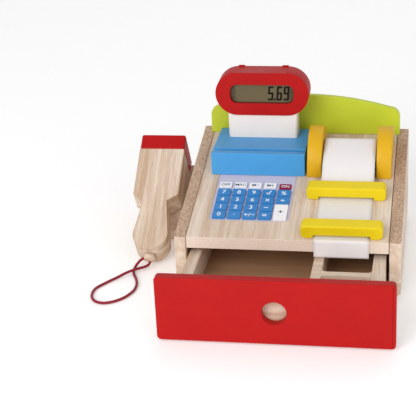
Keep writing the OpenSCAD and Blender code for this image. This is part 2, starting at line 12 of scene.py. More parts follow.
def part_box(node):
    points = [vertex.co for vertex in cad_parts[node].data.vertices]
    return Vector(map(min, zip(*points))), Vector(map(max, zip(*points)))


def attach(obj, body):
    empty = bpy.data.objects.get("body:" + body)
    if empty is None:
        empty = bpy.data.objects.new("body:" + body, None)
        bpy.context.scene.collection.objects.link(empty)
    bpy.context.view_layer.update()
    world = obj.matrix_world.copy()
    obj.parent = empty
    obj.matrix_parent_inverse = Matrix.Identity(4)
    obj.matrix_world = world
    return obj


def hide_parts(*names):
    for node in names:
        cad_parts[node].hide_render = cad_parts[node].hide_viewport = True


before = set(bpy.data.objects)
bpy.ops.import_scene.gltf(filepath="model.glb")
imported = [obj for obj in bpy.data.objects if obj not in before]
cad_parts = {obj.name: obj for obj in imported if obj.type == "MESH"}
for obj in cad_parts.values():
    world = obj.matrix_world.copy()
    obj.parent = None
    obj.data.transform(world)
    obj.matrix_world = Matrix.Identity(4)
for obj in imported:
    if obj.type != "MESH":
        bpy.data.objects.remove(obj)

LOG = logging.getLogger("till")
MM = 0.001
Colour = tuple[float, float, float]
Value = float | tuple[float, ...] | Vector | bpy.types.NodeSocket


def srgb(red: int, green: int, blue: int) -> Colour:
    """Turns a display colour into the linear colour that shaders use, by the sRGB curve.

    Args:
        red: The red part, from 0 to 255.
        green: The green part.
        blue: The blue part.

    Returns:
        The linear colour.
    """
    def linear(value: int) -> float:
        """Returns one part of the colour, made linear."""
        part = value / 255
        return part / 12.92 if part <= 0.04045 else ((part + 0.055) / 1.055) ** 2.4
    return linear(red), linear(green), linear(blue)


class Grain(Enum):
    """The way that the wood's fibres run, as the turn that brings it onto X."""

    ALONG_X = (0.0, 0.0, 0.0)
    ALONG_Y = (0.0, 0.0, -90.0)
    ALONG_Z = (0.0, 90.0, 0.0)
    UP_SLOPE = (-12.0, 0.0, -90.0)
    ALONG_SCANNER = (-33.0, 0.0, -91.2)


# ---- node trees ----
class Tree:
    """A short way to add and join the nodes of one node tree."""

    def __init__(self, tree: bpy.types.NodeTree) -> None:
        """Keeps the node tree that nodes are added to."""
        self.tree = tree

    def add(self, kind: str, inputs: dict[str | int, Value] | None = None,
            **settings: object) -> bpy.types.Node:
        """Adds one node.

        Args:
            kind: The node's type, without its ShaderNode prefix.
            inputs: A value, or another node's output, for each named or numbered input.
            settings: The node's own options.

        Returns:
            The new node.
        """
        node = self.tree.nodes.new(f"ShaderNode{kind}")
        for name, setting in settings.items():
            setattr(node, name, setting)
        for key, value in (inputs or {}).items():
            if isinstance(value, bpy.types.NodeSocket):
                self.tree.links.new(value, node.inputs[key])
            else:
                node.inputs[key].default_value = value
        return node

    def link(self, source: bpy.types.NodeSocket, node: bpy.types.Node, name: str) -> None:
        """Joins an output to a node's named input."""
        self.tree.links.new(source, node.inputs[name])

    def math(self, operation: str, *values: Value, clamp: bool = False) -> bpy.types.NodeSocket:
        """Adds a sum of one or two values and returns its result."""
        sums = dict(enumerate(values))
        return self.add("Math", sums, operation=operation, use_clamp=clamp).outputs[0]

    def mix(self, factor: Value, first: Value, second: Value) -> bpy.types.NodeSocket:
        """Blends two colours.

        Args:
            factor: How much of the second colour shows, from 0 to 1.
            first: The first colour.
            second: The second colour.

        Returns:
            The blend.
        """
        def rgba(value: Value) -> Value:
            """Returns the value, with full opacity added if it is a colour."""
            return (*value, 1.0) if isinstance(value, tuple) and len(value) == 3 else value
        node = self.add("Mix", {0: factor, 6: rgba(first), 7: rgba(second)}, data_type="RGBA")
        return node.outputs[2]

    def span(self, value: Value, low: float, high: float,
             new_low: float = 0.0, new_high: float = 1.0) -> bpy.types.NodeSocket:
        """Stretches a value from one range to another.

        Args:
            value: The value.
            low: The bottom of its own range.
            high: The top of its own range.
            new_low: What the bottom becomes.
            new_high: What the top becomes.

        Returns:
            The stretched value.
        """
        keys = {"Value": value, "From Min": low, "From Max": high,
                "To Min": new_low, "To Max": new_high}
        return self.add("MapRange", keys).outputs[0]

    def noise(self, vector: Value, scale: tuple[float, float, float], detail: float = 2.0,
              distortion: float = 0.0) -> bpy.types.NodeSocket:
        """Adds noise with so many features to a metre along each axis.

        Args:
            vector: The coordinates that it is drawn in.
            scale: Features to a metre along X, Y and Z.
            detail: Octaves of finer noise.
            distortion: How far the features are bent.

        Returns:
            The noise's value, from 0 to 1.
        """
        placed = self.add("VectorMath", {0: vector, 1: scale}, operation="MULTIPLY").outputs[0]
        keys = {"Vector": placed, "Scale": 1.0, "Detail": detail, "Distortion": distortion}
        return self.add("TexNoise", keys).outputs["Fac"]


def new_group(name: str, inputs: dict[str, tuple[str, Value]],
              outputs: dict[str, str]) -> tuple[Tree, bpy.types.Node, bpy.types.Node]:
    """Makes an empty shader node group.

    Args:
        name: The group's name.
        inputs: The kind and the usual value of each named input.
        outputs: The kind of each named output.

    Returns:
        The group's tree, its input node and its output node.
    """
    group = bpy.data.node_groups.new(name, "ShaderNodeTree")
    for label, (kind, value) in inputs.items():
        socket = group.interface.new_socket(label, in_out="INPUT", socket_type=kind)
        if value is not None:
            socket.default_value = value
    for label, kind in outputs.items():
        group.interface.new_socket(label, in_out="OUTPUT", socket_type=kind)
    tree = Tree(group)
    return tree, group.nodes.new("NodeGroupInput"), group.nodes.new("NodeGroupOutput")


FLOAT, VECTOR, COLOUR = "NodeSocketFloat", "NodeSocketVector", "NodeSocketColor"

# features to a metre along the grain and across it
RING_SCALE = (5.0, 95.0, 95.0)
FIBRE_SCALE = (42.0, 1500.0, 1500.0)
PORE_SCALE = (120.0, 2600.0, 2600.0)
BROAD_SCALE = (9.0, 14.0, 14.0)
# features to a metre in end grain, and in the clouds of paint, plastic and paper
DOT_SCALE = (900.0, 420.0, 900.0)
DOT_CLOUD_SCALE = (60.0, 24.0, 60.0)
MOTTLE_SCALE = (26.0, 26.0, 26.0)
PORE_SHADE = 0.25
FIBRE_HEIGHT = 0.6


@cache
def grain_group() -> bpy.types.NodeTree:
    """Builds the wood's growth rings and fibres, which run along the X of their vector.

    Returns:
        The group.
    """
    tree, given, result = new_group("wood_grain", {
        "Vector": (VECTOR, None), "Light": (COLOUR, (0.7, 0.6, 0.4, 1.0)),
        "Dark": (COLOUR, (0.5, 0.4, 0.2, 1.0)), "Rings": (FLOAT, 0.5), "Fibres": (FLOAT, 0.5),
    }, {"Color": COLOUR, "Height": FLOAT, "Mask": FLOAT})
    place = given.outputs["Vector"]
    rings = tree.span(tree.noise(place, RING_SCALE, 3.0, distortion=0.6), 0.34, 0.66)
    fibres = tree.span(tree.noise(place, FIBRE_SCALE, 2.0), 0.3, 0.7)
    pores = tree.span(tree.noise(place, PORE_SCALE, 1.0), 0.62, 0.72)
    broad = tree.noise(place, BROAD_SCALE, 1.0)
    ringed = tree.math("MULTIPLY", rings, given.outputs["Rings"])
    fibred = tree.math("MULTIPLY", fibres, given.outputs["Fibres"])
    shade = tree.math("ADD", ringed, fibred)
    shade = tree.math("ADD", shade, tree.span(broad, 0.3, 0.7, -0.12, 0.12))
    shade = tree.math("ADD", shade, tree.math("MULTIPLY", pores, PORE_SHADE))
    clear = tree.math("ADD", shade, 0.0, clamp=True)
    mixed = tree.mix(clear, given.outputs["Light"], given.outputs["Dark"])
    pits = tree.math("ADD", tree.math("MULTIPLY", fibres, FIBRE_HEIGHT), pores)
    tree.link(mixed, result, "Color")
    tree.link(tree.math("SUBTRACT", 1.0, pits), result, "Height")
    tree.link(clear, result, "Mask")
    return tree.tree


@cache
def speckle_group() -> bpy.types.NodeTree:
    """Builds the short dark pores of sawn end grain.

    Returns:
        The group.
    """
    tree, given, result = new_group("end_grain_speckle", {
        "Vector": (VECTOR, None), "Light": (COLOUR, (0.6, 0.5, 0.4, 1.0)),
        "Dark": (COLOUR, (0.4, 0.3, 0.2, 1.0)),
    }, {"Color": COLOUR, "Height": FLOAT})
    place = given.outputs["Vector"]
    dots = tree.span(tree.noise(place, DOT_SCALE, 3.0), 0.46, 0.62)
    cloud = tree.span(tree.noise(place, DOT_CLOUD_SCALE, 2.0), 0.3, 0.7, 0.0, 0.4)
    shade = tree.math("ADD", dots, cloud, clamp=True)
    mixed = tree.mix(shade, given.outputs["Light"], given.outputs["Dark"])
    tree.link(mixed, result, "Color")
    tree.link(tree.math("SUBTRACT", 1.0, dots), result, "Height")
    return tree.tree


@cache
def mottle_group() -> bpy.types.NodeTree:
    """Builds the faint unevenness of paint, plastic and paper.

    Returns:
        The group.
    """
    tree, given, result = new_group("mottle", {
        "Vector": (VECTOR, None), "Color": (COLOUR, (0.5, 0.5, 0.5, 1.0)),
        "Strength": (FLOAT, 0.1), "Grit": (FLOAT, 700.0),
    }, {"Color": COLOUR, "Mask": FLOAT, "Height": FLOAT})
    place = given.outputs["Vector"]
    cloud = tree.span(tree.noise(place, MOTTLE_SCALE, 4.0), 0.3, 0.7)
    scale = tree.add("CombineXYZ", {k: given.outputs["Grit"] for k in range(3)}).outputs[0]
    placed = tree.add("VectorMath", {0: place, 1: scale}, operation="MULTIPLY").outputs[0]
    grit = tree.add("TexNoise", {"Vector": placed, "Scale": 1.0, "Detail": 2.0}).outputs["Fac"]
    level = tree.math("SUBTRACT", tree.math("ADD", cloud, grit), 1.0)
    gain = tree.math("ADD", tree.math("MULTIPLY", level, given.outputs["Strength"]), 1.0)
    shaded = tree.add("VectorMath", {0: given.outputs["Color"], "Scale": gain},
                      operation="SCALE").outputs[0]
    tree.link(shaded, result, "Color")
    tree.link(cloud, result, "Mask")
    tree.link(grit, result, "Height")
    return tree.tree


# ---- finishes ----
@dataclass(frozen=True)
class Finish:
    """What every finish has: a name, a colour and a shine."""

    name: str
    colour: Colour
    roughness: float = 0.5
    gloss: float = 0.35

    @cache
    def material(self) -> bpy.types.Material:
        """Builds the material once.

        Returns:
            The material.
        """
        made = bpy.data.materials.new(self.name)
        made.use_nodes = True
        made.node_tree.nodes.clear()
        tree = Tree(made.node_tree)
        shader = tree.add("BsdfPrincipled", {"Roughness": self.roughness,
                                             "Specular IOR Level": self.gloss})
        out = tree.add("OutputMaterial", {"Surface": shader.outputs[0]})
        out.is_active_output = True
        self.fill(tree, shader)
        return made

    def fill(self, tree: Tree, shader: bpy.types.Node) -> None:
        """Joins this finish's own nodes to the shader."""
        raise NotImplementedError

    def mottled(self, tree: Tree, place: bpy.types.NodeSocket,
                **more: float) -> bpy.types.Node:
        """Adds this finish's slightly uneven colour.

        Args:
            tree: The material's nodes.
            place: The coordinates that it is drawn in.
            more: The mottle group's other inputs, by name.

        Returns:
            The mottle group's node.
        """
        keys = {"Vector": place, "Color": (*self.colour, 1.0), **more}
        return tree.add("Group", keys, node_tree=mottle_group())

    def vary_shine(self, tree: Tree, shader: bpy.types.Node, mask: bpy.types.NodeSocket,
                   change: tuple[float, float]) -> None:
        """Lets the roughness vary a little over the surface.

        Args:
            tree: The material's nodes.
            shader: The shader that they are joined to.
            mask: Where it is rougher, from 0 to 1.
            change: How much is added to the roughness where the mask is 0 and 1.
        """
        low, high = (self.roughness + part for part in change)
        tree.link(tree.span(mask, 0.0, 1.0, low, high), shader, "Roughness")

    @staticmethod
    def place(tree: Tree, grain: Grain = Grain.ALONG_X) -> bpy.types.NodeSocket:
        """Adds the piece's own coordinates, turned so that the grain lies along X.

        Args:
            tree: The material's nodes.
            grain: The way that the grain runs.

        Returns:
            The turned coordinates.
        """
        turn = tuple(math.radians(angle) for angle in grain.value)
        coords = tree.add("TexCoord").outputs["Object"]
        return tree.add("Mapping", {"Vector": coords, "Rotation": turn}).outputs[0]

    @staticmethod
    def emboss(tree: Tree, shader: bpy.types.Node, height: Value, depth: float) -> None:
        """Raises the surface by a height map, in metres."""
        bump = tree.add("Bump", {"Height": height, "Distance": depth, "Strength": 1.0})
        tree.link(bump.outputs[0], shader, "Normal")


@dataclass(frozen=True)
class Wood(Finish):
    """Sanded bare wood with a thin clear lacquer."""

    dark: Colour = (0.5, 0.4, 0.3)
    grain: Grain = Grain.ALONG_X
    rings: float = 0.55
    fibres: float = 0.4
    depth: float = 0.00012
    end_light: Colour | None = None
    end_dark: Colour = srgb(150, 118, 92)
    end_axis: int = 2
    end_facing: float = 0.6

    def fill(self, tree: Tree, shader: bpy.types.Node) -> None:
        """Joins the grain, and speckled end grain where the piece has some.

        Args:
            tree: The material's nodes.
            shader: The shader that they are joined to.
        """
        keys = {"Vector": self.place(tree, self.grain), "Light": (*self.colour, 1.0),
                "Dark": (*self.dark, 1.0), "Rings": self.rings, "Fibres": self.fibres}
        grain = tree.add("Group", keys, node_tree=grain_group())
        colour = grain.outputs["Color"]
        if self.end_light:
            keys = {"Vector": self.place(tree), "Light": (*self.end_light, 1.0),
                    "Dark": (*self.end_dark, 1.0)}
            ends = tree.add("Group", keys, node_tree=speckle_group())
            normal = tree.add("NewGeometry").outputs["True Normal"]
            facing = tree.add("SeparateXYZ", {0: normal}).outputs[self.end_axis]
            mask = tree.math("GREATER_THAN", tree.math("ABSOLUTE", facing), self.end_facing)
            colour = tree.mix(mask, colour, ends.outputs["Color"])
        tree.link(colour, shader, "Base Color")
        self.vary_shine(tree, shader, grain.outputs["Mask"], (-0.06, 0.08))
        self.emboss(tree, shader, grain.outputs["Height"], self.depth)


@dataclass(frozen=True)
class Paint(Finish):
    """Satin paint on wood: the grain shows through faintly."""

    grain: Grain = Grain.ALONG_X
    strength: float = 0.10
    veins: float = 0.30
    vein_shade: float = 0.86
    depth: float = 0.00003

    def fill(self, tree: Tree, shader: bpy.types.Node) -> None:
        """Joins the uneven coat and the grain under it.

        Args:
            tree: The material's nodes.
            shader: The shader that they are joined to.
        """
        place = self.place(tree, self.grain)
        mottle = self.mottled(tree, place, Strength=self.strength)
        grain = tree.add("Group", {"Vector": place}, node_tree=grain_group())
        deep = tuple(self.vein_shade * part for part in self.colour)
        veined = tree.mix(tree.math("MULTIPLY", grain.outputs["Mask"], self.veins),
                          mottle.outputs["Color"], deep)
        tree.link(veined, shader, "Base Color")
        self.vary_shine(tree, shader, mottle.outputs["Mask"], (-0.05, 0.07))
        self.emboss(tree, shader, grain.outputs["Height"], self.depth)


@dataclass(frozen=True)
class Moulded(Finish):
    """Moulded plastic or rubber with a fine even texture."""

    grit: float = 1500.0
    strength: float = 0.05
    depth: float = 0.00001
    metal: float = 0.0

    def fill(self, tree: Tree, shader: bpy.types.Node) -> None:
        """Joins the moulding's texture.

        Args:
            tree: The material's nodes.
            shader: The shader that they are joined to.
        """
        mottle = self.mottled(tree, self.place(tree), Strength=self.strength, Grit=self.grit)
        shader.inputs["Metallic"].default_value = self.metal
        tree.link(mottle.outputs["Color"], shader, "Base Color")
        self.vary_shine(tree, shader, mottle.outputs["Mask"], (-0.04, 0.05))
        self.emboss(tree, shader, mottle.outputs["Height"], self.depth)


@dataclass(frozen=True)
class Backdrop(Moulded):
    """The floor under the set, a little lit from within so that it stays white."""

    glow: float = 0.22

    def fill(self, tree: Tree, shader: bpy.types.Node) -> None:
        """Adds the glow to the moulding's texture.

        Args:
            tree: The material's nodes.
            shader: The shader that they are joined to.
        """
        super().fill(tree, shader)
        shader.inputs["Emission Color"].default_value = (1.0, 1.0, 1.0, 1.0)
        shader.inputs["Emission Strength"].default_value = self.glow


@dataclass(frozen=True)
class Clear(Finish):
    """A clear polished window."""

    alpha: float = 0.14
    haze: tuple[float, float] = (0.85, 1.15)

    def fill(self, tree: Tree, shader: bpy.types.Node) -> None:
        """Sets how much of the window shows, with a faint haze.

        Args:
            tree: The material's nodes.
            shader: The shader that they are joined to.
        """
        mottle = self.mottled(tree, self.place(tree))
        tree.link(mottle.outputs["Color"], shader, "Base Color")
        low, high = (part * self.alpha for part in self.haze)
        tree.link(tree.span(mottle.outputs["Mask"], 0.0, 1.0, low, high), shader, "Alpha")


@dataclass(frozen=True)
class RollPaper(Finish):
    """Till paper; on a roll its ends show the wound turns."""

    axis_y: float | None = None
    axis_z: float = 0.0
    turn_colour: Colour = srgb(178, 172, 168)
    turn_rate: float = 9000.0
    end_facing: float = 0.7

    def fill(self, tree: Tree, shader: bpy.types.Node) -> None:
        """Joins the paper's fibres and, on a roll, its turns.

        Args:
            tree: The material's nodes.
            shader: The shader that they are joined to.
        """
        place = self.place(tree)
        mottle = self.mottled(tree, place, Strength=0.035, Grit=2400.0)
        colour = mottle.outputs["Color"]
        if self.axis_y is not None:
            flat = tree.add("VectorMath", {0: place, 1: (0.0, 1.0, 1.0)}, operation="MULTIPLY")
            away = tree.add("VectorMath", {0: flat.outputs[0],
                            1: (0.0, self.axis_y, self.axis_z)}, operation="DISTANCE")
            turned = tree.math("MULTIPLY", away.outputs["Value"], self.turn_rate)
            normal = tree.add("NewGeometry").outputs["True Normal"]
            side = tree.math("ABSOLUTE", tree.add("SeparateXYZ", {0: normal}).outputs[0])
            mask = tree.math("MULTIPLY", tree.math("GREATER_THAN", side, self.end_facing),
                             tree.span(tree.math("SINE", turned), -1.0, 1.0, 0.05, 0.4))
            colour = tree.mix(mask, colour, self.turn_colour)
        tree.link(colour, shader, "Base Color")
        self.emboss(tree, shader, mottle.outputs["Height"], 0.00002)


@dataclass(frozen=True)
class Braid(Finish):
    """Glossy braided cord, with paler threads as painted sheen for the light on the crowns of its
    strands.
    """

    # painted sheen: the paler colour of scattered threads, for the light on the strands' crowns
    crown: Colour = (0.5, 0.05, 0.1)
    thread_scale: float = 2600.0
    sheen: float = 0.1
    depth: float = 0.00006

    def fill(self, tree: Tree, shader: bpy.types.Node) -> None:
        """Joins the fine threads of each strand; the paler ones are painted sheen.

        Args:
            tree: The material's nodes.
            shader: The shader that they are joined to.
        """
        noise = tree.noise(self.place(tree), (self.thread_scale,) * 3, 2.0)
        threads = tree.span(noise, 0.3, 0.7)
        tree.link(tree.mix(threads, self.colour, self.crown), shader, "Base Color")
        shader.inputs["Sheen Weight"].default_value = self.sheen
        self.emboss(tree, shader, threads, self.depth)


BARE, BARE_DARK = srgb(238, 223, 207), srgb(195, 164, 136)


def bare(name: str, grain: Grain, **more: object) -> Wood:
    """Returns the set's pale lacquered wood, with its grain along one way."""
    return Wood(name, BARE, roughness=0.55, gloss=0.25, dark=BARE_DARK, grain=grain, **more)


# ---- mesh helpers ----
WELD_REACH = 0.002 * MM
FLAT_ANGLE = math.radians(0.5)
CAPITAL_HEIGHT = 0.69  # a capital's height, as a part of the font's size
THICKENING = 0.014  # how much bolder the font is made, as a part of a capital's height
INK_THICKNESS = 0.02 * MM


def new_piece(name: str, vertices: list[Vector], faces: list[tuple[int, ...]],
              finish: Finish, smooth: bool = True) -> bpy.types.Object:
    """Makes a mesh object from its points and faces.

    Args:
        name: The piece's name.
        vertices: Its points, in metres, in the shared frame.
        faces: The points of each face, by number.
        finish: What it is finished in.
        smooth: Whether its faces shade smoothly.

    Returns:
        The new object.
    """
    mesh = bpy.data.meshes.new(name)
    mesh.from_pydata([tuple(v) for v in vertices], [], faces)
    mesh.validate()
    mesh.polygons.foreach_set("use_smooth", [smooth] * len(mesh.polygons))
    mesh.materials.append(finish.material())
    piece = bpy.data.objects.new(name, mesh)
    bpy.context.scene.collection.objects.link(piece)
    return piece


def dress(node: str, finish: Finish, edge: float = 0.0, segments: int = 3,
          angle: float = 35.0) -> None:
    """Gives a CAD piece its finish and rounds its edges.

    Args:
        node: The CAD piece's name.
        finish: What it is finished in.
        edge: The radius of its rounded edges, in millimetres.
        segments: How many facets round an edge has.
        angle: The least angle, in degrees, of an edge that is rounded.
    """
    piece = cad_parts[node]
    piece.data.materials.clear()
    piece.data.materials.append(finish.material())
    if edge:
        weld = piece.modifiers.new("weld", "WELD")
        weld.merge_threshold = WELD_REACH
        flat = piece.modifiers.new("flat", "DECIMATE")
        flat.decimate_type = "DISSOLVE"
        flat.angle_limit = FLAT_ANGLE
        bevel = piece.modifiers.new("edge", "BEVEL")
        bevel.width = edge * MM
        bevel.segments = segments
        bevel.limit_method = "ANGLE"
        bevel.angle_limit = math.radians(angle)
        bevel.harden_normals = True
        bevel.use_clamp_overlap = True
    LOG.info("dressed %s in %s", node, finish.name)


def join_up(piece: bpy.types.Object, body: str) -> None:
    """Makes a new piece move with a body.

    Args:
        piece: The new piece.
        body: The body that it rides.
    """
    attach(piece, body)
    LOG.info("built %s on %s", piece.name, body)


def lettering(name: str, words: str, height: float, place: Matrix,
              finish: Finish) -> bpy.types.Object:
    """Makes thin raised lettering as a mesh, centred on its place.

    Args:
        name: The piece's name.
        words: What it says.
        height: The height of a capital, in metres.
        place: Where it lies: X along the words, Z out of the surface.
        finish: What it is finished in.

    Returns:
        The new object.
    """
    curve = bpy.data.curves.new(name, "FONT")
    curve.body = words
    curve.size = height / CAPITAL_HEIGHT
    curve.offset = THICKENING * height
    curve.extrude = INK_THICKNESS
    curve.align_x = "CENTER"
    curve.resolution_u = 4
    source = bpy.data.objects.new(name + "_source", curve)
    bpy.context.scene.collection.objects.link(source)
    bpy.context.view_layer.update()
    mesh = bpy.data.meshes.new_from_object(source.evaluated_get(
        bpy.context.evaluated_depsgraph_get()))
    bpy.data.objects.remove(source)
    low = Vector(min(v.co[k] for v in mesh.vertices) for k in range(3))
    high = Vector(max(v.co[k] for v in mesh.vertices) for k in range(3))
    middle = (low + high) / 2
    mesh.transform(place @ Matrix.Translation((-middle.x, -middle.y, 0)))
    mesh.materials.clear()
    mesh.materials.append(finish.material())
    piece = bpy.data.objects.new(name, mesh)
    bpy.context.scene.collection.objects.link(piece)
    return piece


# ---- the case and what stands on it ----
@dataclass
class Case:
    """The sloped wooden case, its back board and its feet."""

    slope: float = math.radians(12)
    front_height: float = 62 * MM

    def __post_init__(self) -> None:
        """Finds the middle of the case's front edge, from which the rest is placed."""
        low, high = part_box("side_panels")
        self.front = Vector(((low.x + high.x) / 2, low.y, 0.0))
        self.on_slope = (Matrix.Translation(self.front + Vector((0, 0, self.front_height)))
                         @ Matrix.Rotation(self.slope, 4, "X"))

    def box(self, node: str) -> tuple[Vector, Vector]:
        """Measures a CAD piece along the slope.

        Args:
            node: The CAD piece's name.

        Returns:
            Its lowest and highest corners, in the slope's own coordinates.
        """
        back = self.on_slope.inverted()
        points = [back @ v.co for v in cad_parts[node].data.vertices]
        return (Vector(min(p[k] for p in points) for k in range(3)),
                Vector(max(p[k] for p in points) for k in range(3)))

    def build(self) -> None:
        """Dresses the case's boards."""
        dress("side_panels", bare("panel_wood", Grain.ALONG_Y, end_light=srgb(216, 187, 162),
                                  end_dark=srgb(166, 133, 107)), 1.2)
        dress("top_board", bare("top_wood", Grain.UP_SLOPE, end_light=srgb(238, 222, 207),
                                end_dark=srgb(226, 206, 188), end_axis=1), 0.6)
        dress("back_panel", bare("back_wood", Grain.ALONG_X, rings=0.7), 0.5)
        dress("bottom_board", Wood("bottom_wood", srgb(214, 190, 160), 0.6,
                                   dark=srgb(182, 150, 116)), 0.5)
        dress("drawer_stop", bare("stop_wood", Grain.ALONG_X), 0.5)
        dress("feet", Moulded("foot_rubber", srgb(226, 216, 200), 0.7), 0.6)
        green = Paint("green_paint", srgb(196, 208, 52), 0.4)
        dress("back_board", green, edge=1.0, segments=4)


@dataclass
class Keypad:
    """The calculator's plate, its keys and the figures on them."""

    case: Case
    figure_height: float = 5.7 * MM
    small_height: float = 3.9 * MM
    lift: float = 0.02 * MM
    small_key: float = 11 * MM
    long_word: float = 0.8
    sign_growth: float = 1.15
    legends: dict[str, str] = field(default_factory=lambda: {
        "off": "OFF", "recall": "MRC", "memory_minus": "M−", "memory_plus": "M+",
        "on": "ON", "7": "7", "8": "8", "9": "9", "root": "√", "percent": "%", "4": "4",
        "5": "5", "6": "6", "times": "×", "divide": "÷", "1": "1", "2": "2", "3": "3",
        "minus": "−", "plus": "+", "0": "0", "point": ".", "sign": "+/−", "equals": "="})
    white_keys: tuple[str, ...] = ("off", "recall", "memory_minus", "memory_plus", "plus")

    def build(self) -> None:
        """Dresses the plate and each key, and prints the keys' figures."""
        plastic = Moulded("keypad_plastic", srgb(208, 198, 214), 0.45)
        dress("keypad_plate", plastic, edge=0.25, segments=2)
        dress("key_mat", Moulded("mat_rubber", srgb(224, 220, 214), 0.7))
        dress("key_circuit", Moulded("circuit", srgb(40, 120, 66), 0.4))
        blue = Moulded("blue_key", srgb(52, 132, 200), 0.34)
        white = Moulded("white_key", srgb(244, 244, 246), 0.34)
        red = Moulded("red_key", srgb(150, 18, 52), 0.34)
        black_ink = Moulded("black_ink", srgb(24, 24, 28), 0.5)
        white_ink = Moulded("white_ink", srgb(246, 248, 250), 0.5)
        for name, words in self.legends.items():
            on_white = name in self.white_keys
            cap, slot = (white, "white_key") if on_white else (blue, "blue_key")
            if name == "on":
                cap, slot = red, "red_key"
            dress(f"key_{name}", cap, 0.45)
            self.print_figure(name, words, black_ink if on_white else white_ink)

    def print_figure(self, name: str, words: str, ink: Finish) -> None:
        """Prints one key's figure on its top.

        Args:
            name: The key's name.
            words: The figure.
            ink: What it is printed in.
        """
        low, high = self.case.box(f"key_{name}")
        small = high.y - low.y < self.small_key
        height = self.small_height if small else self.figure_height
        if len(words) > 3:
            height *= self.long_word
        elif not words.isalnum() and len(words) == 1 and name != "percent":
            height *= self.sign_growth
        middle = (low + high) / 2
        place = self.case.on_slope @ Matrix.Translation((middle.x, middle.y, high.z + self.lift))
        figure = lettering(f"figure_{name}", words, height, place, ink)
        join_up(figure, f"key_{name}")


